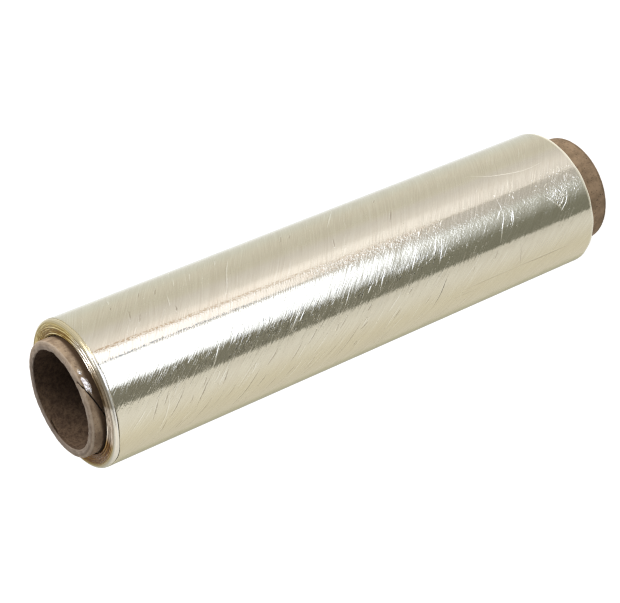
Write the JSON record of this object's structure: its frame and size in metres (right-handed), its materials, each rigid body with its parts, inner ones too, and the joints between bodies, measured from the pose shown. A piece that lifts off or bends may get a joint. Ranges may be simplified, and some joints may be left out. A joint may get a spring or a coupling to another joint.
{
  "type": "stretch wrap roll",
  "caption": "Clear stretch film wound on a spiral paperboard core whose ends stand out, for wrapping packs by hand or from a dispenser.",
  "frame": {"origin": "centre of the core's lower end, on the plane that the roll stands on", "axes": "+Z along the roll's axis, up from the end with the longer bare stretch of core to the end with the shorter one; X and Y are any two directions across the roll"},
  "size_m": [0.075, 0.075, 0.325],
  "materials": {
    "core_board": "matte",
    "film": "gloss"
  },
  "bodies": {
    "root": {"core_tube": "core_board", "film_roll": "film"}
  },
  "joints": []
}
